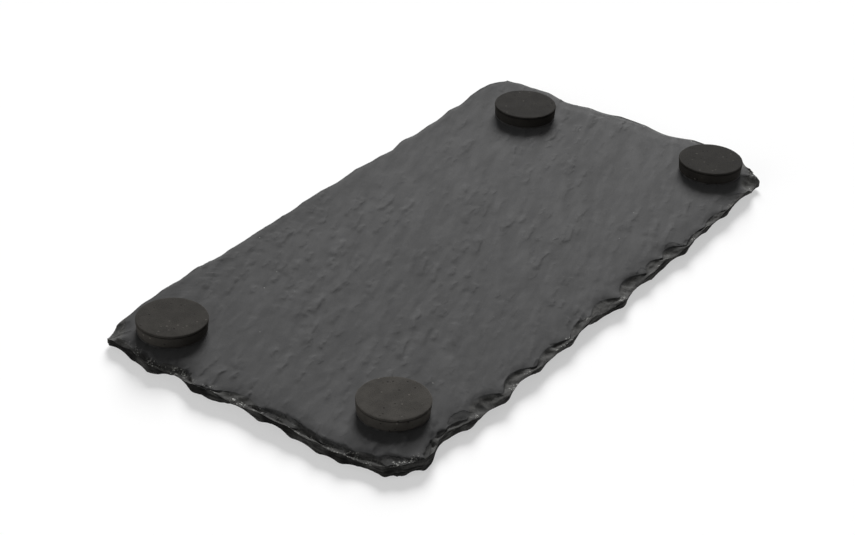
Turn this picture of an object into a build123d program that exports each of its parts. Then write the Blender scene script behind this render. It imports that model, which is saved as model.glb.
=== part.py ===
from build123d import *
from itertools import cycle
from math import sqrt
import os

# The board lies with its serving face down at z = 0 and its feet up, as it does on a bench
# while the feet are stuck on. X runs along it, Y across it. All sizes are in millimetres.

# Slate slab
board_length = 202.0  # over the mean line of the broken edge
board_width = 103.3
slate_thickness = 4.6

# Flakes struck off both rims of the slab
flake_pitch = 12.0  # usual width of one flake
flake_overlap = 1.12  # a scar runs on past its neighbour, so that the two meet in a ridge
serving_flake_overlap = 1.6  # the same on the serving side, where the ridges are low
left_serving_overlap = 1.3  # along the left side those ridges stand out more
flake_depth = 1.5  # how far a scar on the foot side comes down the edge
serving_flake_depth = 2.7  # how far a scar on the serving side goes up the edge
front_undercut = 3.2  # how far the scars on the serving side run in, along each side
right_undercut = 2.5
back_undercut = 2.5
left_undercut = 3.2
flake_variety = (1.0, 0.75, 1.25, 0.9, 1.1, 0.65, 1.2)  # no two neighbours are alike

# Larger flakes off the front right and back left corners, which leave a thin ear there
ear_flake_overlap = 1.6
ear_flake_reach = 4.6
ear_flake_depth = 2.5

# Stuck-on foam feet
foot_diameter = 20.0
foot_height = 3.8
foot_draw = 0.35  # the side is drawn in by this much towards the slate
foot_lip_height = 0.5  # rim left by the cutting die
foot_lip_bevel = 0.3
foot_groove = 0.16  # step under that rim
foot_end_inset = 17.5  # from the mean line of the short edge to the middle of a foot
foot_side_inset = 17.0  # from the mean line of the long edge to the middle of a foot
adhesive_thickness = 0.3
adhesive_margin = 0.45  # the disc stays this far inside the foot

# Points of the broken outline, walked with the slate on the left hand. Each has its place along
# the side (-1 and 1 are the ends), how far it stands proud of the mean line, the hollow of the
# scallop that follows it, and how far that scallop's flake runs into the face with the feet.
front_points = (
    (-0.91, 0.2, 0.2, 1.4),
    (-0.87, 0.2, 2.6, 2.0),
    (-0.69, 0.2, 0.8, 4.2),
    (-0.55, 1.5, 1.2, 5.0),
    (-0.39, 0.6, 0.6, 3.2),
    (-0.22, 0.4, 1.8, 4.0),
    (0.05, 1.3, 1.2, 3.2),
    (0.21, -0.1, 1.1, 3.6),
    (0.41, 0.7, 0.7, 2.2),
    (0.68, -0.5, 0.4, 1.6),
    (0.85, -1.2, 0.7, 1.3),
)
right_points = (
    (-0.965, -7.8, 0.3, 2.4),
    (-0.86, -4.8, 0.3, 2.2),
    (-0.74, 0.6, 0.6, 1.4),
    (-0.385, 2.0, 1.8, 1.0),
    (-0.08, 0.5, 0.5, 0.8),
    (0.135, 0.7, 0.8, 0.9),
    (0.347, 0.1, 1.2, 1.0),
    (0.666, 1.4, 0.9, 1.1),
    (0.882, 0.3, 0.4, 1.0),
)
back_points = (
    (0.96, -1.0, 0.2, 1.0),
    (0.92, 1.2, 0.2, 0.9),
    (0.87, 1.5, 0.3, 0.8),
    (0.8, 1.3, 0.7, 0.9),
    (0.68, 0.9, 0.8, 1.1),
    (0.41, 0.7, 0.9, 1.0),
    (0.17, 0.5, 0.6, 1.1),
    (0.0, 0.7, 0.6, 0.8),
    (-0.12, 0.4, 0.5, 1.0),
    (-0.31, 0.4, 0.4, 0.9),
    (-0.57, 0.7, 0.5, 1.1),
    (-0.72, 0.3, 0.5, 0.8),
    (-0.81, 0.1, 0.4, 1.0),
)
left_points = (
    (0.98, -7.0, 0.2, 1.0),
    (0.925, -1.4, 0.8, 1.8),
    (0.576, 2.0, 1.5, 2.6),
    (0.3, 1.7, 0.1, 2.0),
    (0.175, 1.2, 0.3, 4.2),
    (-0.13, 1.0, 0.4, 3.8),
    (-0.51, 1.9, 0.1, 3.0),
    (-0.655, 1.8, 0.5, 3.0),
    (-0.88, -0.4, 0.15, 2.0),
    (-0.953, -4.35, 0.15, 1.6),
)

# Side of the board of each foot along X and Y, and how far it was stuck from its true place
foot_places = {
    "front_left": (-1, -1, 3.2, 1.0),
    "front_right": (1, -1, 2.9, -0.4),
    "back_left": (-1, 1, -3.4, 1.0),
    "back_right": (1, 1, -2.7, -4.2),
}

half_length = board_length / 2
half_width = board_width / 2


def outline_points():
    """Every outline point as its place, the hollow after it and the flakes there.

    A flake has its reach on the face with the feet, then its reach and overlap on the serving face.
    """
    front_cut = (front_undercut, serving_flake_overlap)
    right_cut = (right_undercut, serving_flake_overlap)
    back_cut = (back_undercut, serving_flake_overlap)
    left_cut = (left_undercut, left_serving_overlap)
    front = [((s * half_length, -half_width - out), *cut, *front_cut) for s, out, *cut in front_points]
    right = [((half_length + out, s * half_width), *cut, *right_cut) for s, out, *cut in right_points]
    back = [((s * half_length, half_width + out), *cut, *back_cut) for s, out, *cut in back_points]
    left = [((-half_length - out, s * half_width), *cut, *left_cut) for s, out, *cut in left_points]
    return front + right + back + left


def strike_flake(stretch, face_z, side, overlap, reach, depth):
    """Take a ball out of the slab, which leaves a scar along a stretch of its edge.

    The stretch is given by its start, crest and end, and the scar is overlap times as long. It runs
    reach into the face at face_z from the crest, and depth along the edge. The side is 1 for the face
    with the feet and -1 for the serving face.
    """
    start, crest, end = stretch
    chord = end - start
    middle = (start + end) / 2
    hollow = (crest - middle).length
    half_chord = chord.length * overlap / 2
    face_reach = hollow + reach
    edge_depth = depth * face_reach / reach
    face_radius = (half_chord**2 + face_reach**2) / (2 * face_reach)
    height = (half_chord**2 - edge_depth**2) / (2 * edge_depth)
    outward = Vector(chord.Y, -chord.X).normalized()
    centre = middle + outward * (face_radius - face_reach)
    turn = outward.get_signed_angle(Vector(1, 0, 0))
    with Locations(Location((centre.X, centre.Y, face_z + side * height), (0, 0, turn))):
        Sphere(sqrt(face_radius**2 + height**2), mode=Mode.SUBTRACT)


os.makedirs("parts", exist_ok=True)

# Slate slab: the ragged outline first, then the flakes off the rim on each face
with BuildPart() as slate_slab:
    with BuildSketch():
        points = outline_points()
        scallops = []
        with BuildLine():
            for here, onward in zip(points, points[1:] + points[:1]):
                scallop = SagittaArc(here[0], onward[0], here[1])
                scallops.append((scallop, *here[2:]))
        make_face()
    extrude(amount=slate_thickness)

    variety = cycle(flake_variety)
    for scallop, reach, undercut, serving_overlap in scallops:
        rims = (
            (slate_thickness, 1, flake_overlap, reach, flake_depth),
            (0, -1, serving_overlap, undercut, serving_flake_depth),
        )
        count = max(1, round(scallop.length / flake_pitch))
        for step in range(count):
            stretch = [scallop @ ((step + part) / count) for part in (0, 0.5, 1)]
            narrowing = min(1, (stretch[2] - stretch[0]).length / flake_pitch)
            for face_z, side, overlap, face_reach, depth in rims:
                size = narrowing * next(variety)
                strike_flake(stretch, face_z, side, overlap, face_reach * size, depth * size)

    # The ears are the stretches after the last front point and after the first left point
    for ear in (len(front_points) - 1, -len(left_points)):
        ear_stretch = [scallops[ear][0] @ part for part in (0, 0.5, 1)]
        strike_flake(ear_stretch, slate_thickness, 1, ear_flake_overlap, ear_flake_reach, ear_flake_depth)
slate_slab.part.label = "slate_slab"
export_step(slate_slab.part, "parts/slate_slab.step")

# Feet, each on its adhesive disc
foot_radius = foot_diameter / 2
for corner, (end_side, long_side, stray_x, stray_y) in foot_places.items():
    foot_x = end_side * (half_length - foot_end_inset) + stray_x
    foot_y = long_side * (half_width - foot_side_inset) + stray_y

    with BuildPart() as adhesive_disc:
        with BuildSketch(Plane((foot_x, foot_y, slate_thickness))):
            Circle(foot_radius - adhesive_margin)
        extrude(amount=adhesive_thickness)
    adhesive_disc.part.label = f"adhesive_{corner}"
    export_step(adhesive_disc.part, f"parts/adhesive_{corner}.step")

    foot_base = slate_thickness + adhesive_thickness
    with BuildPart() as foot:
        with BuildSketch(Plane((foot_x, foot_y, foot_base), x_dir=(1, 0, 0), z_dir=(0, -1, 0))) as section:
            with BuildLine():
                Polyline(
                    (0, 0),
                    (foot_radius - foot_draw, 0),
                    (foot_radius - foot_groove, foot_height - foot_lip_height - foot_groove),
                    (foot_radius, foot_height - foot_lip_height),
                    (foot_radius, foot_height),
                    (0, foot_height),
                    close=True,
                )
            make_face()
            rim_corner = section.vertices().sort_by(Axis.X)[-2:].sort_by(Axis.Y)[-1]
            chamfer(rim_corner, foot_lip_bevel)
        revolve(axis=Axis((foot_x, foot_y, 0), (0, 0, 1)))
    foot.part.label = f"foot_{corner}"
    export_step(foot.part, f"parts/foot_{corner}.step")
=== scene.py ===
import math

import bpy
import numpy as np
from mathutils import Matrix, Vector
from mathutils.bvhtree import BVHTree


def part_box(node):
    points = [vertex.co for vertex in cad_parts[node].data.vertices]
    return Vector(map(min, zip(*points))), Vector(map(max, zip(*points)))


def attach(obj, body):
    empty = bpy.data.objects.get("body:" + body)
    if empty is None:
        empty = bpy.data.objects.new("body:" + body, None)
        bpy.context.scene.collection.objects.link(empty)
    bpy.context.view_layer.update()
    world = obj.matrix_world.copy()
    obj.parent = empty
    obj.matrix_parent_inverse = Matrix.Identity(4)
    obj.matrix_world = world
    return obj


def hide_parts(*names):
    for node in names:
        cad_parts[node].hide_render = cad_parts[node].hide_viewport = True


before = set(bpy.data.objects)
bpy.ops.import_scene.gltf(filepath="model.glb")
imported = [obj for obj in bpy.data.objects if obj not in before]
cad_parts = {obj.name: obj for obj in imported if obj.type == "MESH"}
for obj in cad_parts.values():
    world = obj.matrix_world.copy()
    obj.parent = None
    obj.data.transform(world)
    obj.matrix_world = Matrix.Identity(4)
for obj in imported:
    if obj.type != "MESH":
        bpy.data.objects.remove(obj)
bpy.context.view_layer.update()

slabLow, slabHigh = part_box("slate_slab")
feet = ["front_left", "front_right", "back_left", "back_right"]
mm = 0.001


# small helpers for node trees

def addNode(tree, kind, inputs=None, **settings):
    made = tree.nodes.new(kind)
    for key, value in settings.items():
        setattr(made, key, value)
    for key, value in (inputs or {}).items():
        if isinstance(value, bpy.types.NodeSocket):
            tree.links.new(value, made.inputs[key])
        else:
            made.inputs[key].default_value = value
    return made


def sums(tree, operation, *terms):
    made = addNode(tree, "ShaderNodeMath", dict(enumerate(terms)), operation=operation)
    return made.outputs[0]


def between(tree, value, low, high, toLow=0.0, toHigh=1.0, smooth=True):
    # value from low to high becomes toLow to toHigh, held at both ends
    made = addNode(
        tree, "ShaderNodeMapRange",
        {"Value": value, "From Min": low, "From Max": high, "To Min": toLow, "To Max": toHigh},
        interpolation_type="SMOOTHSTEP" if smooth else "LINEAR",
    )
    return made.outputs[0]


def noiseOf(tree, vector, scale=1.0, detail=2.0, roughness=0.5, distortion=0.0):
    made = addNode(
        tree, "ShaderNodeTexNoise",
        {"Vector": vector, "Scale": scale, "Detail": detail,
         "Roughness": roughness, "Distortion": distortion},
    )
    return made.outputs[0]


def vectorSums(tree, operation, *terms):
    made = addNode(tree, "ShaderNodeVectorMath", dict(enumerate(terms)), operation=operation)
    return made.outputs[0]


def scaled(tree, vector, by):
    made = addNode(tree, "ShaderNodeVectorMath", {0: vector, "Scale": by}, operation="SCALE")
    return made.outputs[0]


def axesOf(tree, vector):
    return addNode(tree, "ShaderNodeSeparateXYZ", {0: vector}).outputs


def vectorOf(tree, x=0.0, y=0.0, z=0.0):
    return addNode(tree, "ShaderNodeCombineXYZ", {0: x, 1: y, 2: z}).outputs[0]


def swayOf(tree, vector, scale, detail):
    # a noise of its own along each axis, to bend a pattern with
    made = addNode(tree, "ShaderNodeTexNoise", {"Vector": vector, "Scale": scale, "Detail": detail})
    return made.outputs[1]


def mixed(tree, share, first, second):
    made = addNode(tree, "ShaderNodeMix", {0: share, 6: first, 7: second}, data_type="RGBA")
    return made.outputs[2]


def marked(tree, name):
    # a stored attribute, read in a material
    return addNode(tree, "ShaderNodeAttribute", attribute_name=name).outputs["Fac"]


def stored(tree, geometry, fields):
    # keeps fields on the points of a mesh, for its material
    for name, field in fields.items():
        made = addNode(
            tree, "GeometryNodeStoreNamedAttribute", {"Geometry": geometry, "Name": name, "Value": field},
            data_type="FLOAT", domain="POINT",
        )
        geometry = made.outputs[0]
    return geometry


def newGeometryTree(name, inputNames):
    tree = bpy.data.node_groups.new(name, "GeometryNodeTree")
    tree.interface.new_socket("Geometry", in_out="INPUT", socket_type="NodeSocketGeometry")
    for inputName in inputNames:
        tree.interface.new_socket(inputName, in_out="INPUT", socket_type="NodeSocketFloat")
    tree.interface.new_socket("Geometry", in_out="OUTPUT", socket_type="NodeSocketGeometry")
    return tree, tree.nodes.new("NodeGroupInput").outputs


def endGeometryTree(tree, geometry, material):
    realized = addNode(tree, "GeometryNodeRealizeInstances", {"Geometry": geometry}).outputs[0]
    painted = addNode(tree, "GeometryNodeSetMaterial", {"Geometry": realized, "Material": material})
    addNode(tree, "NodeGroupOutput", {"Geometry": painted.outputs[0]})


def grown(name, startMesh, tree, values):
    # runs a geometry tree on a mesh and keeps the result as a plain mesh
    carrier = bpy.data.objects.new(name + "Carrier", startMesh)
    bpy.context.scene.collection.objects.link(carrier)
    modifier = carrier.modifiers.new("grow", "NODES")
    modifier.node_group = tree
    for item in tree.interface.items_tree:
        if item.in_out == "INPUT" and item.name in values:
            modifier[item.identifier] = values[item.name]
    depsgraph = bpy.context.evaluated_depsgraph_get()
    mesh = bpy.data.meshes.new_from_object(carrier.evaluated_get(depsgraph), depsgraph=depsgraph)
    mesh.name = name
    bpy.data.objects.remove(carrier)
    piece = bpy.data.objects.new(name, mesh)
    bpy.context.scene.collection.objects.link(piece)
    return piece


def newMaterial(name):
    material = bpy.data.materials.new(name)
    material.use_nodes = True
    tree = material.node_tree
    return material, tree, tree.nodes["Principled BSDF"]


def towards(azimuth, elevation):
    # unit vector to a camera or a lamp, azimuth 0 being straight in front, both in degrees
    turn, rise = math.radians(azimuth), math.radians(elevation)
    return Vector((math.sin(turn) * math.cos(rise), -math.cos(turn) * math.cos(rise), math.sin(rise)))


# camera, at the photograph's viewing angle

photoCamera = {
    "width": 855, "focal": 2096.9,  # both in pixels of the photograph
    "azimuth": -56.179, "elevation": 31.492, "roll": 2.692,
    "distance": 601.13, "target": (-16.98, 0.28),  # millimetres, on the face with the feet
}


def makeCamera():
    data = bpy.data.cameras.new("photoCamera")
    data.sensor_fit = "HORIZONTAL"
    data.sensor_width = 36.0
    data.lens = photoCamera["focal"] * data.sensor_width / photoCamera["width"]
    data.clip_start, data.clip_end = 0.01, 50.0
    camera = bpy.data.objects.new("photoCamera", data)
    bpy.context.scene.collection.objects.link(camera)
    azimuth, roll = math.radians(photoCamera["azimuth"]), math.radians(photoCamera["roll"])
    back = towards(photoCamera["azimuth"], photoCamera["elevation"])
    level = Vector((math.cos(azimuth), math.sin(azimuth), 0.0))
    upright = back.cross(level)
    right = level * math.cos(roll) + upright * math.sin(roll)
    up = upright * math.cos(roll) - level * math.sin(roll)
    x, y = photoCamera["target"]
    eye = Vector((x * mm, y * mm, slabHigh.z)) + back * photoCamera["distance"] * mm
    turned = Matrix((right, up, back)).transposed().to_4x4()
    camera.matrix_world = Matrix.Translation(eye) @ turned
    bpy.context.scene.camera = camera
    print("camera: lens", round(data.lens, 2))


# stage: pale floor, soft light from behind the board, white surround

stage = {
    "floorSize": 6.0, "floorColour": 0.94,
    "floorGlow": 0.5,  # share of the floor's white that no shadow reaches
    "keyStrength": 5.7, "keyAzimuth": 121.0, "keyElevation": 29.0, "keySoftness": 28.0,
    "fillStrength": 1.2, "fillAzimuth": -108.0, "fillElevation": 11.0, "fillSoftness": 50.0,
    "worldStrength": 0.12,
}


def addSun(name):
    data = bpy.data.lights.new(name + "Sun", "SUN")
    data.energy = stage[name + "Strength"]
    data.angle = math.radians(stage[name + "Softness"])
    sun = bpy.data.objects.new(name + "Sun", data)
    bpy.context.scene.collection.objects.link(sun)
    toSun = towards(stage[name + "Azimuth"], stage[name + "Elevation"])
    sun.rotation_euler = toSun.to_track_quat("Z", "Y").to_euler()
    sun.location = toSun


def seenDirectly(tree):
    # 1 for what the camera sees, also in a reflection or through glass
    path = tree.nodes.new("ShaderNodeLightPath").outputs
    seen = sums(tree, "MAXIMUM", path["Is Camera Ray"], path["Is Transmission Ray"])
    return sums(tree, "MAXIMUM", seen, path["Is Glossy Ray"])


def makeStage():
    half = stage["floorSize"] / 2
    floorMesh = bpy.data.meshes.new("floor")
    corners = [(-half, -half, 0), (half, -half, 0), (half, half, 0), (-half, half, 0)]
    floorMesh.from_pydata(corners, [], [(0, 1, 2, 3)])
    floor = bpy.data.objects.new("floor", floorMesh)
    bpy.context.scene.collection.objects.link(floor)
    material, tree, shader = newMaterial("paleFloor")
    grey = stage["floorColour"]
    shader.inputs["Base Color"].default_value = (grey, grey, grey, 1)
    shader.inputs["Roughness"].default_value = 0.9
    shader.inputs["Specular IOR Level"].default_value = 0.0
    white = addNode(tree, "ShaderNodeEmission", {"Color": (1, 1, 1, 1), "Strength": 1.0}).outputs[0]
    share = sums(tree, "MULTIPLY", seenDirectly(tree), stage["floorGlow"])
    surface = addNode(tree, "ShaderNodeMixShader", {0: share, 1: shader.outputs[0], 2: white}).outputs[0]
    tree.links.new(surface, tree.nodes["Material Output"].inputs["Surface"])
    floorMesh.materials.append(material)

    addSun("key")
    addSun("fill")

    world = bpy.data.worlds.new("surround")
    bpy.context.scene.world = world
    world.use_nodes = True
    tree = world.node_tree
    tree.nodes.clear()
    strength = between(tree, seenDirectly(tree), 0.0, 1.0, stage["worldStrength"], 1.0, smooth=False)
    background = addNode(tree, "ShaderNodeBackground", {"Color": (1, 1, 1, 1), "Strength": strength})
    addNode(tree, "ShaderNodeOutputWorld", {"Surface": background.outputs[0]})
    bpy.context.scene.view_settings.view_transform = "Standard"
    print("stage: key from azimuth", stage["keyAzimuth"], "fill from", stage["fillAzimuth"])


# slate slab: the CAD slab's skin on a finer mesh, then riven relief and a broken edge

slab = {
    "margin": 10.0,  # from the slab's box to the plain rectangle inside it, in mm
    "cell": 0.78,  # mesh cell inside that rectangle, in mm; the edge is twice as fine
    "faceShares": [0.14, 0.27, 0.39, 0.5, 0.6, 0.69, 0.77, 0.84, 0.9, 0.945, 0.975, 0.992, 1.0],
    "scarShares": [0.06, 0.13, 0.21, 0.3, 0.4, 0.5, 0.6, 0.7, 0.79, 0.87, 0.94, 0.99],
    "wallShares": [0.05, 0.35, 0.65, 0.95],
    "underShares": [0.01, 0.07, 0.16, 0.28, 0.42, 0.58, 0.76, 0.92, 1.0],
    "servingShares": [0.85, 0.6, 0.3],
    "seatFade": 3.0,  # the relief dies away over this much around a foot, in mm
    "rimReach": 8.0,  # width of the zone that thin layers have come off, in mm
    "scarSoftness": 1.6,  # the scars' borders are worn round over this much, in mm
    "wornSpan": 11, "wornShare": 0.7,  # smoothing along the back and right edges, in columns and a share
    "unevenness": 0.1, "unevenRun": (3, 38), "unevenSeed": 5,  # small steps in and out along those edges
    "cuspSpan": 2,  # all cusps are rounded over this many columns
    "faceColour": (0.0535, 0.0535, 0.0539), "freshColour": (0.0455, 0.045, 0.043),
    # the near-black colour is dirt and painted shade in the steps around the flakes
    # the pale speck colour is mineral specks and, along the ridge, painted glints
    "speckAndGlintColour": (0.32, 0.32, 0.3, 1), "dirtAndShadeColour": (0.008, 0.008, 0.008, 1),
    "relief": {  # heights and sizes in mm
        "Broad Height": 0.8, "Swell Height": 0.46, "Ripple Height": 0.36, "Dimple Height": 0.16,
        "Stroke Height": 0.27, "Small Stroke Height": 0.22, "Pit Depth": 0.16,
        "Flake Depth": 0.4, "Step Height": 0.2, "Sag Depth": 0.45,
        "Ledge Thickness": 0.8, "Ledge Run": 4.0, "Ledge Depth": 0.5,
        "Chip Size": 3.0, "Chip Depth": 0.9, "Grit Size": 1.2, "Grit Depth": 0.25,
    },
}
cleavage = {"turn": math.radians(-19.0), "seed": 4.0}


def grainPlace(tree, inMm, length, width, shift=0.0):
    # coordinates stretched along the cleavage grain, different on the two faces
    turned = addNode(
        tree, "ShaderNodeVectorRotate", {"Vector": inMm, "Angle": cleavage["turn"]},
        rotation_type="Z_AXIS",
    )
    apart = axesOf(tree, turned.outputs[0])
    face = sums(tree, "GREATER_THAN", apart["Z"], 2.3)
    along = sums(tree, "DIVIDE", apart["X"], length)
    across = sums(tree, "DIVIDE", apart["Y"], width)
    return vectorOf(tree, along, across, sums(tree, "MULTIPLY_ADD", face, 5.3, cleavage["seed"] + shift))


def strokes(tree, inMm, length, width, crispness, rarity, shift):
    # short ledges, one in some cells of a stretched pattern: sheer towards -Y, dying away behind
    sway = swayOf(tree, inMm, 2.2 / length, 2.0)
    swayed = vectorSums(tree, "MULTIPLY_ADD", sway, (0.35 * length, 0.75 * width, 0.0), inMm)
    place = axesOf(tree, grainPlace(tree, swayed, length, width, shift))
    flat = vectorOf(tree, sums(tree, "MULTIPLY_ADD", place["Z"], 7.3, place["X"]), place["Y"])
    cells = addNode(
        tree, "ShaderNodeTexVoronoi", {"Vector": flat, "Scale": 1.0, "Randomness": 0.85},
        voronoi_dimensions="2D",
    )
    away = axesOf(tree, vectorSums(tree, "SUBTRACT", flat, cells.outputs["Position"]))
    luck = axesOf(tree, cells.outputs["Color"])[0]
    rise = between(tree, away["Y"], -crispness, crispness)
    fade = between(tree, away["Y"], 0.0, 0.42, 1.0, 0.0)
    ends = between(tree, sums(tree, "ABSOLUTE", away["X"]), 0.2, 0.42, 1.0, 0.0)
    ledge = sums(tree, "MULTIPLY", sums(tree, "MULTIPLY", rise, fade), ends)
    return sums(tree, "MULTIPLY", ledge, between(tree, luck, rarity, 1.0))


def busyness(tree, inMm):
    # some parts of a face split cleaner than others
    patches = noiseOf(tree, grainPlace(tree, inMm, 40.0, 22.0, 9.0), 1.0, 1.0)
    return between(tree, patches, 0.36, 0.6, 0.45, 1.15)


def shallowFlakes(tree, inMm, rimNear, crispness):
    # thin layers have come off along the broken edge, each as far in as its own scalloped step
    swayed = vectorSums(tree, "MULTIPLY_ADD", swayOf(tree, inMm, 0.3, 3.0), (4.0, 5.0, 0.0), inMm)
    swayed = vectorSums(tree, "MULTIPLY", swayed, (1.1, 0.6, 1.0))  # longer along the left edge
    cells = addNode(
        tree, "ShaderNodeTexVoronoi", {"Vector": swayed, "Scale": 0.11}, voronoi_dimensions="2D"
    )
    luck = axesOf(tree, cells.outputs["Color"])[0]
    lobe = sums(tree, "MULTIPLY_ADD", cells.outputs["Distance"], -0.7, rimNear)
    starts = between(tree, luck, 0.3, 0.7, 0.75, 0.25)
    layer = between(tree, sums(tree, "SUBTRACT", lobe, starts), 0.0, crispness)
    apart = axesOf(tree, inMm)
    layer = sums(tree, "MULTIPLY", layer, between(tree, apart["Y"], 28.0, 42.0, 1.0, 0.0))
    return sums(tree, "MULTIPLY", layer, between(tree, apart["X"], -60.0, -85.0, 0.35, 1.0))


def slabStartMesh():
    # columns of points run out over the edge, cast on the CAD slab from above and below
    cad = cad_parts["slate_slab"].data
    cad.calc_loop_triangles()
    skin = BVHTree.FromPolygons([v.co for v in cad.vertices], [t.vertices for t in cad.loop_triangles])
    halfX = slabHigh.x - slab["margin"] * mm
    halfY = slabHigh.y - slab["margin"] * mm
    cellsX = 2 * round(halfX / (slab["cell"] * mm))
    cellsY = 2 * round(halfY / (slab["cell"] * mm))
    xs = np.linspace(-halfX, halfX, 2 * cellsX + 1)
    ys = np.linspace(-halfY, halfY, 2 * cellsY + 1)
    top, bottom = slabHigh.z, slabLow.z
    endX, endY = 2 * cellsX, 2 * cellsY
    points, marks = [], []

    def keep(x, y, z, scar=0.0, wall=0.0, rimNear=0.0, out=(0, 0, 0)):
        points.append((x, y, z))
        marks.append((scar, wall, rimNear, *out))
        return len(points) - 1

    # rectangle grids on both faces, with every ring point on their border; the serving face is coarser
    faces = []
    gridTop, gridBottom = {}, {}
    for grid, z, step in ((gridTop, top, 2), (gridBottom, bottom, 4)):
        for i in range(0, endX + 1):
            for j in range(0, endY + 1):
                onBorder = i in (0, endX) or j in (0, endY)
                if onBorder or (i % step == 0 and j % step == 0):
                    grid[i, j] = keep(xs[i], ys[j], z)
        for i in range(0, endX, step):
            for j in range(0, endY, step):
                around = [(i + k, j) for k in range(step)] + [(i + step, j + k) for k in range(step)]
                around += [(i + step - k, j + step) for k in range(step)]
                around += [(i, j + step - k) for k in range(step)]
                face = [grid[key] for key in around if key in grid]
                faces.append(face if z == top else face[::-1])

    ringKeys = [(i, 0) for i in range(endX)] + [(endX, j) for j in range(endY)]
    ringKeys += [(i, endY) for i in range(endX, 0, -1)] + [(0, j) for j in range(endY, 0, -1)]

    def heights(spot):
        above = skin.ray_cast(Vector((spot.x, spot.y, 1.0)), Vector((0, 0, -1)))[0]
        below = skin.ray_cast(Vector((spot.x, spot.y, -1.0)), Vector((0, 0, 1)))[0]
        return (above.z, below.z) if above and below else None

    # edge band, row by row from the face with the feet over the rim to the serving face
    starts, outs, profiles = [], [], []
    for key in ringKeys:
        start = Vector((xs[key[0]], ys[key[1]], 0))
        out = Vector((start.x * (slabHigh.x / halfX - 1), start.y * (slabHigh.y / halfY - 1), 0))
        out.normalize()
        inside, outside = 0.0, 2 * slab["margin"] * mm
        while outside - inside > 1e-6:
            middle = (inside + outside) / 2
            if heights(start + out * middle):
                inside = middle
            else:
                outside = middle
        rim = inside - 0.02 * mm  # clear of the upright wall, which a ray could graze
        # where the scars begin on each face
        borders = []
        for side, face in ((0, top), (1, bottom)):
            border = rim
            while border > 0.3 * rim:
                found = heights(start + out * (border - 1e-6))[side]
                if abs(found - face) <= 0.02 * mm:
                    break
                border -= 0.1 * mm
            borders.append(border)
        scarAt, underAt = borders
        rows = [(share * scarAt, 0, 0.0, 0.0) for share in slab["faceShares"]]
        rows += [(scarAt + share * (rim - scarAt), 0, share, 0.0) for share in slab["scarShares"]]
        rows += [(rim, share, 1.0, 1.0) for share in slab["wallShares"]]
        for share in slab["underShares"]:
            rows.append((rim - share * (rim - underAt), 1, 1.0, min(1.0, 5 * (1 - share))))
        rows += [(share * underAt, 1, 0.0, 0.0) for share in slab["servingShares"]]
        profile = []
        for reach, down, scar, wall in rows:
            spot = start + out * reach
            above, below = heights(spot)
            if down == 0:
                over = 0.999 * min(slab["scarSoftness"] * mm, reach, rim - reach)
                around = [heights(start + out * (reach + part * over))[0] for part in (-1, -0.5, 0.5, 1)]
                above = (above + sum(around)) / 5
            rimNear = max(0.0, 1 - (rim - reach) / (slab["rimReach"] * mm))
            profile.append((reach, above + down * (below - above), scar, wall, rimNear))
        starts.append(start)
        outs.append(out)
        profiles.append(profile)

    # the cusps are a little round, and the back and right edges are smoother but less regular
    def averaged(values, span):
        return sum(np.roll(values, step, axis=0) for step in range(-span, span + 1)) / (2 * span + 1)

    profiles = averaged(np.array(profiles), slab["cuspSpan"])
    isWorn = [key[1] == endY or (key[0] == endX and key[1] > 0.15 * endY) for key in ringKeys]
    worn = slab["wornShare"] * averaged(np.array(isWorn, float), slab["wornSpan"])
    profiles += worn[:, None, None] * (averaged(profiles, slab["wornSpan"]) - profiles)
    chance = np.random.default_rng(slab["unevenSeed"])
    bends = np.cumsum(chance.integers(*slab["unevenRun"], 90))
    steps = slab["unevenness"] * chance.uniform(-0.8, 0.4, 90)
    steps = np.interp(np.arange(len(profiles)), bends, steps)
    profiles[:, :, 0] *= 1 + (worn * steps)[:, None]

    band = []
    for key, start, out, profile in zip(ringKeys, starts, outs, profiles):
        column = [gridTop[key]]
        for reach, z, scar, wall, rimNear in profile:
            spot = start + out * reach
            column.append(keep(spot.x, spot.y, z, scar, wall, rimNear, out))
        column.append(gridBottom[key])
        band.append(column)
    for here, onward in zip(band, band[1:] + band[:1]):
        for row in range(len(here) - 1):
            faces.append([here[row], here[row + 1], onward[row + 1], onward[row]])

    mesh = bpy.data.meshes.new("slabStart")
    mesh.from_pydata(points, [], faces)
    marks = np.array(marks, np.float32)
    for number, name in enumerate(("scar", "wall", "rimNear")):
        mesh.attributes.new(name, "FLOAT", "POINT").data.foreach_set("value", marks[:, number].copy())
    outward = mesh.attributes.new("outward", "FLOAT_VECTOR", "POINT")
    outward.data.foreach_set("vector", marks[:, 3:].ravel())

    # the relief fades out under each foot, so that its adhesive lies flat
    places = np.array(points)
    seat = np.ones(len(places))
    for foot in feet:
        low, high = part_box("foot_" + foot)
        radius = (high.x - low.x) / 2
        away = np.hypot(places[:, 0] - (low.x + high.x) / 2, places[:, 1] - (low.y + high.y) / 2)
        share = np.clip((away - radius * 0.97) / (slab["seatFade"] * mm), 0, 1)
        isAbove = places[:, 2] > (top + bottom) / 2
        seat = np.where(isAbove, np.minimum(seat, share * share * (3 - 2 * share)), seat)
    mesh.attributes.new("seat", "FLOAT", "POINT").data.foreach_set("value", seat.astype(np.float32))
    mesh.validate()
    print("slab start mesh:", len(points), "points,", len(band), "columns")
    return mesh


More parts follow.
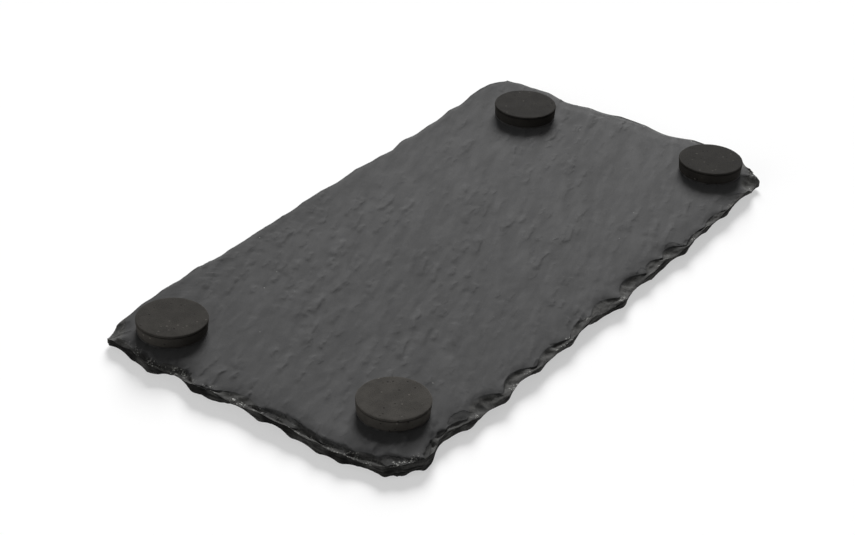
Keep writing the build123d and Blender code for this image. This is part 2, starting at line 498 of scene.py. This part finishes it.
def reliefTree(material):
    tree, given = newGeometryTree("rivenRelief", slab["relief"])

    def attribute(name, kind="FLOAT"):
        return addNode(tree, "GeometryNodeInputNamedAttribute", {"Name": name}, data_type=kind).outputs[0]

    position = tree.nodes.new("GeometryNodeInputPosition").outputs[0]
    normal = tree.nodes.new("GeometryNodeInputNormal").outputs[0]
    inMm = scaled(tree, position, 1000.0)
    scar, wall, rimNear, seat = (attribute(name) for name in ("scar", "wall", "rimNear", "seat"))
    outward = attribute("outward", "FLOAT_VECTOR")
    place = axesOf(tree, inMm)
    facing = axesOf(tree, normal)["Z"]

    # riven faces: broad waves, swells, short ledges of two sizes and small pits, busier at the left end
    def waves(length, width, shift, detail=2.0, distortion=0.0):
        noise = noiseOf(tree, grainPlace(tree, inMm, length, width, shift), 1.0, detail, 0.5, distortion)
        return sums(tree, "SUBTRACT", noise, 0.5)

    broad = waves(60.0, 34.0, 0.0)
    swell = waves(21.0, 5.0, 3.0, distortion=0.2)
    ripple = waves(8.5, 2.6, 5.0)
    dimple = waves(4.8, 1.5, 8.0, detail=1.0)
    large = strokes(tree, inMm, 15.0, 6.5, 0.1, 0.05, 2.0)
    small = strokes(tree, inMm, 7.0, 3.6, 0.14, 0.0, 6.0)
    pitPlace = grainPlace(tree, inMm, 8.0, 4.0, 1.0)
    cells = addNode(tree, "ShaderNodeTexVoronoi", {"Vector": pitPlace, "Scale": 1.0})
    luck = axesOf(tree, cells.outputs["Color"])[0]
    pit = between(tree, cells.outputs["Distance"], 0.3, 0.05)
    pit = sums(tree, "MULTIPLY", pit, between(tree, luck, 0.64, 0.68))
    height = sums(tree, "MULTIPLY", large, given["Stroke Height"])
    height = sums(tree, "MULTIPLY_ADD", small, given["Small Stroke Height"], height)
    height = sums(tree, "SUBTRACT", height, sums(tree, "MULTIPLY", pit, given["Pit Depth"]))
    height = sums(tree, "MULTIPLY", height, busyness(tree, inMm))
    height = sums(tree, "MULTIPLY_ADD", swell, given["Swell Height"], height)
    height = sums(tree, "MULTIPLY_ADD", ripple, given["Ripple Height"], height)
    height = sums(tree, "MULTIPLY_ADD", dimple, given["Dimple Height"], height)
    height = sums(tree, "MULTIPLY", height, between(tree, place["X"], -50.0, 70.0, 1.25, 0.6))
    height = sums(tree, "MULTIPLY_ADD", broad, given["Broad Height"], height)
    # the serving face lies on the table, so there the relief only goes in
    isUnder = between(tree, facing, -0.7, -0.5, 1.0, 0.0)
    height = sums(tree, "SUBTRACT", height, sums(tree, "MULTIPLY", isUnder, 0.4))
    height = sums(tree, "MULTIPLY", height, seat)
    height = sums(tree, "MULTIPLY", height, between(tree, scar, 0.0, 0.3, 1.0, 0.25))
    # nothing folds over the ridge of the rim
    offRidge = between(tree, rimNear, 1.0, 0.88)
    height = sums(tree, "MULTIPLY", height, offRidge)

    # rim below its ridge: thin ledges of the cleavage layers
    wobble = sums(tree, "MULTIPLY_ADD", noiseOf(tree, inMm, 0.06, 1.0), 1.6, place["Z"])
    layer = sums(tree, "FLOOR", sums(tree, "DIVIDE", wobble, given["Ledge Thickness"]))
    layerPlace = vectorOf(
        tree, sums(tree, "DIVIDE", place["X"], given["Ledge Run"]),
        sums(tree, "DIVIDE", place["Y"], given["Ledge Run"]), sums(tree, "MULTIPLY", layer, 1.618),
    )
    ledge = sums(tree, "SUBTRACT", noiseOf(tree, layerPlace, 1.0, 2.0), 0.35)
    ledge = sums(tree, "MULTIPLY", sums(tree, "MULTIPLY", ledge, given["Ledge Depth"]), wall)
    # the back edge and the right end broke cleaner than the others
    rough = between(tree, place["Y"], 36.0, 46.0, 1.0, 0.35)
    rough = sums(tree, "MULTIPLY", rough, between(tree, place["X"], 82.0, 94.0, 1.0, 0.3))
    ledge = sums(tree, "MULTIPLY", ledge, rough)

    # shell-shaped chips and grit in the scars
    def bowls(size, depth):
        squeezed = vectorSums(tree, "MULTIPLY", inMm, (1.0, 1.0, 1.5))
        scale = sums(tree, "DIVIDE", 1.0, size)
        cells = addNode(
            tree, "ShaderNodeTexVoronoi", {"Vector": squeezed, "Scale": scale, "Smoothness": 0.5},
            feature="SMOOTH_F1",
        )
        away = cells.outputs["Distance"]
        dip = sums(tree, "SUBTRACT", sums(tree, "MULTIPLY", away, away), 0.25)
        return sums(tree, "MULTIPLY", sums(tree, "MINIMUM", dip, 0.2), depth)

    chips = bowls(given["Chip Size"], given["Chip Depth"])
    chips = sums(tree, "ADD", chips, bowls(given["Grit Size"], given["Grit Depth"]))
    chips = sums(tree, "MULTIPLY", chips, between(tree, scar, 0.0, 0.35))
    chips = sums(tree, "MULTIPLY", chips, sums(tree, "MULTIPLY", rough, offRidge))

    # on the foot side shallow flakes have come off near the rim, and some scars start with a sheer step
    atLeft = between(tree, place["X"], -70.0, -90.0)
    towardsRim = between(tree, scar, 0.3, 1.0, 1.0, 0.0)
    flaked = shallowFlakes(tree, inMm, rimNear, 0.07)
    lost = sums(tree, "MULTIPLY", flaked, given["Flake Depth"])
    lost = sums(tree, "MULTIPLY", lost, between(tree, atLeft, 0.0, 1.0, 0.8, 1.6))
    some = between(tree, noiseOf(tree, inMm, 0.055, 1.0), 0.42, 0.58)
    sheer = sums(tree, "MULTIPLY", between(tree, scar, 0.0, 0.12), some)
    sheer = sums(tree, "MULTIPLY", sheer, given["Step Height"])
    offBack = between(tree, place["Y"], 28.0, 42.0, 1.0, 0.0)
    sag = sums(tree, "MULTIPLY", between(tree, rimNear, 0.0, 0.75), offBack)
    sheer = sums(tree, "MULTIPLY_ADD", sag, given["Sag Depth"], sheer)
    isFootSide = sums(tree, "GREATER_THAN", facing, 0.0)
    isFootSide = sums(tree, "MULTIPLY", isFootSide, sums(tree, "SUBTRACT", 1.0, wall))
    dropped = sums(tree, "MULTIPLY", sums(tree, "ADD", lost, sheer), isFootSide)
    dropped = sums(tree, "MULTIPLY", sums(tree, "MULTIPLY", dropped, towardsRim), seat)
    struck = sums(tree, "MAXIMUM", between(tree, scar, 0.0, 0.2), sums(tree, "MULTIPLY", flaked, 0.6))

    lift = sums(tree, "MULTIPLY", sums(tree, "ADD", height, chips), mm)
    offset = scaled(tree, normal, lift)
    push = scaled(tree, outward, sums(tree, "MULTIPLY", ledge, mm))
    drop = vectorOf(tree, z=sums(tree, "MULTIPLY", dropped, -mm))
    offset = vectorSums(tree, "ADD", vectorSums(tree, "ADD", offset, push), drop)
    geometry = stored(tree, given["Geometry"], {"relief": height, "struck": struck})
    moved = axesOf(tree, vectorSums(tree, "ADD", position, offset))
    settled = vectorOf(tree, moved["X"], moved["Y"], sums(tree, "MAXIMUM", moved["Z"], slabLow.z))
    shaped = addNode(tree, "GeometryNodeSetPosition", {"Geometry": geometry, "Position": settled})
    endGeometryTree(tree, shaped.outputs[0], material)
    return tree


def slateMaterial():
    material, tree, shader = newMaterial("rivenSlate")
    place = tree.nodes.new("ShaderNodeTexCoord").outputs["Object"]
    inMm = scaled(tree, place, 1000.0)
    struck, relief, rimNear, wall, scar = (
        marked(tree, name) for name in ("struck", "relief", "rimNear", "wall", "scar")
    )

    streak = noiseOf(tree, grainPlace(tree, inMm, 14.0, 3.0), 1.0, 5.0, 0.6, 0.4)
    mottle = noiseOf(tree, inMm, 0.035, 3.0)
    fine = noiseOf(tree, inMm, 1.6, 4.0, 0.65)
    tone = sums(tree, "MULTIPLY_ADD", sums(tree, "SUBTRACT", streak, 0.5), 0.2, 1.0)
    tone = sums(tree, "MULTIPLY_ADD", sums(tree, "SUBTRACT", mottle, 0.5), 0.2, tone)
    tone = sums(tree, "MULTIPLY_ADD", sums(tree, "SUBTRACT", fine, 0.5), 0.2, tone)
    # painted shade and light: the face colour is darker in the hollows of the relief and lighter on its
    # rises
    tone = sums(tree, "MULTIPLY_ADD", relief, 0.15, tone)
    # painted light and shade: the face is darker towards its near left end and lighter towards its far
    # right end, as the light falls; it is also darker in a margin along the back edge
    apart = axesOf(tree, inMm)
    along = sums(tree, "MULTIPLY_ADD", apart["Y"], 0.6, apart["X"])
    tone = sums(tree, "MULTIPLY", tone, between(tree, along, -110.0, 90.0, 0.85, 0.94))
    margin = sums(tree, "MULTIPLY_ADD", sums(tree, "SUBTRACT", mottle, 0.5), 30.0, apart["Y"])
    tone = sums(tree, "MULTIPLY", tone, between(tree, margin, 36.0, 48.0, 1.0, 0.84))
    face = scaled(tree, slab["faceColour"], tone)

    # pale mineral specks, rare on the face and in clusters along the broken edge, where they are partly
    # painted glints
    cells = addNode(tree, "ShaderNodeTexVoronoi", {"Vector": inMm, "Scale": 2.2})
    luck = axesOf(tree, cells.outputs["Color"])
    rare = between(tree, cells.outputs["Distance"], 0.5, 0.25)
    rare = sums(tree, "MULTIPLY", rare, sums(tree, "GREATER_THAN", luck[0], 0.9998))
    atLeft = between(tree, apart["X"], -80.0, -92.0)
    dense = sums(tree, "MULTIPLY_ADD", atLeft, 0.05, noiseOf(tree, inMm, 0.2, 2.0))
    cluster = between(tree, dense, 0.52, 0.66)
    sparkle = between(tree, noiseOf(tree, inMm, 1.6, 3.0, 0.7), 0.54, 0.64)
    nearer = sums(tree, "MULTIPLY_ADD", atLeft, 0.12, rimNear)
    onRidge = sums(tree, "MULTIPLY", between(tree, nearer, 0.72, 0.9), sums(tree, "SUBTRACT", 1.0, wall))
    speck = sums(tree, "MULTIPLY", sums(tree, "MULTIPLY", cluster, sparkle), onRidge)
    speck = sums(tree, "MULTIPLY", speck, between(tree, apart["Y"], 28.0, 42.0, 1.0, 0.2))
    speck = sums(tree, "MAXIMUM", speck, sums(tree, "MULTIPLY", rare, 0.5))

    # fresh stone in the scars; below the ridge of the rim, and most at the left end, its colour is
    # darkened as painted shade
    freshToneLightAndShade = between(tree, fine, 0.25, 0.75, 0.75, 1.25)
    layers = noiseOf(tree, vectorSums(tree, "MULTIPLY", inMm, (0.3, 0.3, 1.7)), 1.0, 3.0)
    wallToneAndShade = between(tree, noiseOf(tree, inMm, 0.11, 2.0), 0.42, 0.6, 0.1, 0.65)
    wallToneAndShade = sums(tree, "ADD", wallToneAndShade, between(tree, atLeft, 0.0, 1.0, 0.45, 0.1))
    wallToneAndShade = sums(tree, "MULTIPLY", wallToneAndShade, between(tree, layers, 0.35, 0.65, 0.4, 1.6))
    freshToneLightAndShade = sums(tree, "MULTIPLY", freshToneLightAndShade, between(tree, wall, 0.0, 1.0, 1.0, wallToneAndShade))
    # painted shade: the scars are darker at the far left end
    freshToneLightAndShade = sums(tree, "MULTIPLY", freshToneLightAndShade, between(tree, apart["X"], -95.0, -80.0, 0.85, 1.0))
    # painted light: the scars are lighter at the right end, lifting their shade
    freshToneLightAndShade = sums(tree, "MULTIPLY", freshToneLightAndShade, between(tree, apart["X"], 75.0, 90.0, 1.0, 1.7))
    fresh = scaled(tree, slab["freshColour"], freshToneLightAndShade)
    body = mixed(tree, struck, face, fresh)
    # dirt and painted shade lie in the steps around the flakes and where the scars start
    flaked = shallowFlakes(tree, inMm, rimNear, 0.06)
    crease = sums(tree, "MULTIPLY", flaked, sums(tree, "SUBTRACT", 1.0, flaked))
    broken = between(tree, noiseOf(tree, inMm, 0.25, 2.0), 0.42, 0.6)
    start = sums(tree, "MULTIPLY", between(tree, scar, 0.0, 0.08), between(tree, scar, 0.3, 0.08))
    crease = sums(tree, "MAXIMUM", sums(tree, "MULTIPLY", crease, 3.0), start)
    crease = sums(tree, "MULTIPLY", crease, broken)
    crease = sums(tree, "MULTIPLY", crease, sums(tree, "SUBTRACT", 1.0, wall))
    crease = sums(tree, "MULTIPLY", crease, between(tree, apart["Y"], 28.0, 42.0, 1.0, 0.0))
    crease = sums(tree, "MULTIPLY", crease, between(tree, apart["X"], 60.0, 85.0, 1.0, 0.0))
    body = mixed(tree, sums(tree, "MINIMUM", crease, 0.5), body, slab["dirtAndShadeColour"])
    colour = mixed(tree, speck, body, slab["speckAndGlintColour"])
    tree.links.new(colour, shader.inputs["Base Color"])
    roughness = between(tree, streak, 0.3, 0.7, 0.84, 0.78)
    roughness = addNode(tree, "ShaderNodeMix", {0: speck, 2: roughness, 3: 0.35}, data_type="FLOAT")
    tree.links.new(roughness.outputs[0], shader.inputs["Roughness"])
    tree.links.new(between(tree, wall, 0.0, 1.0, 0.08, 0.04), shader.inputs["Specular IOR Level"])

    # the same ledges again, crisper than the mesh can show them, and a fine grain
    large = strokes(tree, inMm, 15.0, 6.5, 0.08, 0.05, 2.0)
    small = strokes(tree, inMm, 7.0, 3.6, 0.11, 0.0, 6.0)
    bumpHeight = sums(tree, "MULTIPLY_ADD", small, 0.7, large)
    bumpHeight = sums(tree, "MULTIPLY", bumpHeight, busyness(tree, inMm))
    bumpHeight = sums(tree, "SUBTRACT", bumpHeight, shallowFlakes(tree, inMm, rimNear, 0.05))
    bumpHeight = sums(tree, "MULTIPLY_ADD", fine, 0.3, bumpHeight)
    bumpHeight = sums(tree, "MULTIPLY_ADD", sums(tree, "MULTIPLY", layers, wall), 2.0, bumpHeight)
    bump = addNode(tree, "ShaderNodeBump", {"Height": bumpHeight, "Distance": 0.0003, "Strength": 0.4})
    tree.links.new(bump.outputs[0], shader.inputs["Normal"])
    return material


def makeSlab():
    material = slateMaterial()
    piece = grown("slateSlab", slabStartMesh(), reliefTree(material), slab["relief"])
    piece.data.shade_smooth()
    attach(piece, "root")
    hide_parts("slate_slab")
    triangles = sum(len(p.vertices) - 2 for p in piece.data.polygons)
    print("slab:", triangles, "triangles")


# foam feet, each on its adhesive disc

footLook = {
    "Lip Height": 0.65, "Lip Round": 0.4, "Groove": 0.3, "Draw": 0.35,  # in mm
    "Base Round": 0.3, "Unevenness": 0.12,
    "colour": (0.0388, 0.036, 0.0322), "filmColour": (0.012, 0.0115, 0.011),
    "sides": 112, "rings": 32, "fill": 16,
    # painted shade: each foot's colour is scaled on its own, the back left and both right feet darker
    "shadeTones": {"front_left": 1.02, "front_right": 0.43, "back_left": 0.73, "back_right": 0.42},
}


def footTree(material):
    names = [
        "Centre X", "Centre Y", "Base", "Radius", "Height", "Lip Height", "Lip Round", "Groove",
        "Draw", "Base Round", "Unevenness", "Seed", "Shade Tone",
    ]
    tree, given = newGeometryTree("foamFoot", names)
    drum = addNode(tree, "GeometryNodeMeshCylinder", {
        "Vertices": footLook["sides"], "Side Segments": footLook["rings"],
        "Fill Segments": footLook["fill"], "Radius": 1.0, "Depth": 1.0,
    }, fill_type="TRIANGLE_FAN").outputs["Mesh"]
    position = tree.nodes.new("GeometryNodeInputPosition").outputs[0]
    apart = axesOf(tree, position)
    share = sums(tree, "ADD", apart["Z"], 0.5)
    # more rings near the lip than below it
    rise = addNode(tree, "ShaderNodeFloatCurve", {"Value": share})
    curve = rise.mapping.curves[0]
    curve.points[0].location, curve.points[1].location = (0, 0), (1, 1)
    for spot in ((0.25, 0.42), (0.5, 0.8), (0.75, 0.94)):
        curve.points.new(*spot)
    rise.mapping.update()
    z = sums(tree, "MULTIPLY", rise.outputs[0], given["Height"])
    fromTop = sums(tree, "SUBTRACT", given["Height"], z)
    # side: drawn in towards the slate, a groove under the lip, a rounded rim
    drawn = sums(tree, "MULTIPLY", given["Draw"], sums(tree, "DIVIDE", fromTop, given["Height"]))
    apartBy = sums(tree, "ABSOLUTE", sums(tree, "SUBTRACT", fromTop, given["Lip Height"]))
    groove = between(tree, apartBy, 0.25 * mm, 0.05 * mm)
    grooved = sums(tree, "MULTIPLY", given["Groove"], groove)

    def roundOff(depth, radius):
        into = sums(tree, "MINIMUM", sums(tree, "DIVIDE", depth, radius), 1.0)
        into = sums(tree, "SUBTRACT", 1.0, into)
        left = sums(tree, "MAXIMUM", sums(tree, "SUBTRACT", 1.0, sums(tree, "MULTIPLY", into, into)), 0.0)
        return sums(tree, "MULTIPLY", sums(tree, "SUBTRACT", 1.0, sums(tree, "SQRT", left)), radius)

    rounded = sums(tree, "ADD", roundOff(fromTop, given["Lip Round"]), roundOff(z, given["Base Round"]))
    inwards = sums(tree, "ADD", drawn, sums(tree, "ADD", grooved, rounded))
    side = sums(tree, "SUBTRACT", given["Radius"], inwards)
    flat = vectorOf(tree, apart["X"], apart["Y"])
    ownLayer = sums(tree, "MULTIPLY_ADD", share, 0.5, given["Seed"])
    seedPlace = vectorOf(tree, apart["X"], apart["Y"], ownLayer)
    uneven = sums(tree, "SUBTRACT", noiseOf(tree, seedPlace, 1.3, 3.0), 0.5)
    side = sums(tree, "MULTIPLY_ADD", uneven, given["Unevenness"], side)
    spread = scaled(tree, flat, side)
    # the top is a little uneven too, the base stays flat
    dent = sums(tree, "SUBTRACT", noiseOf(tree, seedPlace, 2.6, 3.0), 0.55)
    dent = sums(tree, "MULTIPLY", sums(tree, "MULTIPLY", dent, given["Unevenness"]), rise.outputs[0])
    lifted = sums(tree, "ADD", sums(tree, "ADD", z, dent), given["Base"])
    centre = vectorOf(tree, given["Centre X"], given["Centre Y"], lifted)
    # stored first, because the fields are read again after the points have moved
    onSide = between(tree, share, 0.99, 0.96)
    drum = stored(tree, drum, {"tone": given["Shade Tone"], "groove": groove, "onSide": onSide})
    placed = vectorSums(tree, "ADD", spread, centre)
    shaped = addNode(tree, "GeometryNodeSetPosition", {"Geometry": drum, "Position": placed})
    endGeometryTree(tree, shaped.outputs[0], material)
    return tree


def foamMaterial():
    material, tree, shader = newMaterial("blackFoam")
    place = tree.nodes.new("ShaderNodeTexCoord").outputs["Object"]
    inMm = scaled(tree, place, 1000.0)
    soft = noiseOf(tree, inMm, 0.22, 3.0)
    pores = addNode(tree, "ShaderNodeTexVoronoi", {"Vector": inMm, "Scale": 3.2}).outputs["Distance"]
    dust = noiseOf(tree, inMm, 2.4, 3.0, 0.6)
    # each foot's own tone is painted shade, darker for the far feet
    own = marked(tree, "tone")
    groove = marked(tree, "groove")
    onSide = marked(tree, "onSide")
    tone = sums(tree, "MULTIPLY", own, between(tree, soft, 0.3, 0.7, 0.85, 1.15))
    # painted shade: darker towards the middle of each pore
    tone = sums(tree, "MULTIPLY", tone, between(tree, pores, 0.05, 0.35, 0.7, 1.05))
    tone = sums(tree, "MULTIPLY_ADD", between(tree, dust, 0.62, 0.8), 0.35, tone)
    # a few pale specks, and painted shade in small dents and as a dark line in the groove
    spots = addNode(tree, "ShaderNodeTexVoronoi", {"Vector": inMm, "Scale": 0.9})
    luck = axesOf(tree, spots.outputs["Color"])
    core = between(tree, spots.outputs["Distance"], 0.34, 0.16)
    speck = sums(tree, "MULTIPLY", core, sums(tree, "GREATER_THAN", luck[0], 0.93))
    dent = sums(tree, "MULTIPLY", core, sums(tree, "LESS_THAN", luck[0], 0.12))
    tone = sums(tree, "MULTIPLY_ADD", speck, 0.9, tone)
    tone = sums(tree, "MULTIPLY", tone, between(tree, dent, 0.0, 1.0, 1.0, 0.45))
    tone = sums(tree, "MULTIPLY", tone, between(tree, groove, 0.0, 1.0, 1.0, 0.3))
    # painted light: the side wall is made lighter than the top
    tone = sums(tree, "MULTIPLY", tone, between(tree, onSide, 0.0, 1.0, 1.0, 1.25))
    colour = scaled(tree, footLook["colour"], tone)
    tree.links.new(colour, shader.inputs["Base Color"])
    tree.links.new(between(tree, dust, 0.3, 0.7, 0.86, 0.96), shader.inputs["Roughness"])
    shader.inputs["Specular IOR Level"].default_value = 0.06
    bumpHeight = sums(tree, "MULTIPLY_ADD", dust, 0.5, between(tree, pores, 0.0, 0.4))
    bumpHeight = sums(tree, "SUBTRACT", bumpHeight, dent)
    bump = addNode(tree, "ShaderNodeBump", {"Height": bumpHeight, "Distance": 0.00012, "Strength": 0.6})
    tree.links.new(bump.outputs[0], shader.inputs["Normal"])
    return material


def adhesiveMaterial():
    material, tree, shader = newMaterial("adhesiveFilm")
    place = tree.nodes.new("ShaderNodeTexCoord").outputs["Object"]
    inMm = scaled(tree, place, 1000.0)
    smear = noiseOf(tree, inMm, 0.9, 4.0)
    colour = scaled(tree, footLook["filmColour"], between(tree, smear, 0.3, 0.7, 0.6, 1.4))
    tree.links.new(colour, shader.inputs["Base Color"])
    tree.links.new(between(tree, smear, 0.3, 0.7, 0.4, 0.7), shader.inputs["Roughness"])
    return material


def makeFeet():
    tree = footTree(foamMaterial())
    film = adhesiveMaterial()
    for number, foot in enumerate(feet):
        low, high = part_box("foot_" + foot)
        values = {
            "Centre X": (low.x + high.x) / 2, "Centre Y": (low.y + high.y) / 2, "Base": low.z,
            "Radius": (high.x - low.x) / 2, "Height": high.z - low.z, "Seed": 3.7 * (number + 1),
            "Shade Tone": footLook["shadeTones"][foot],
        }
        for name in ("Lip Height", "Lip Round", "Groove", "Draw", "Base Round", "Unevenness"):
            values[name] = footLook[name] * mm
        piece = grown("foamFoot_" + foot, bpy.data.meshes.new("footStart"), tree, values)
        piece.data.shade_smooth()
        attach(piece, "root")
        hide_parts("foot_" + foot)
        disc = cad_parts["adhesive_" + foot]
        disc.data.materials.clear()
        disc.data.materials.append(film)
    print("feet:", len(feet), "with", len(piece.data.polygons), "faces each")


makeCamera()
makeStage()
makeSlab()
makeFeet()
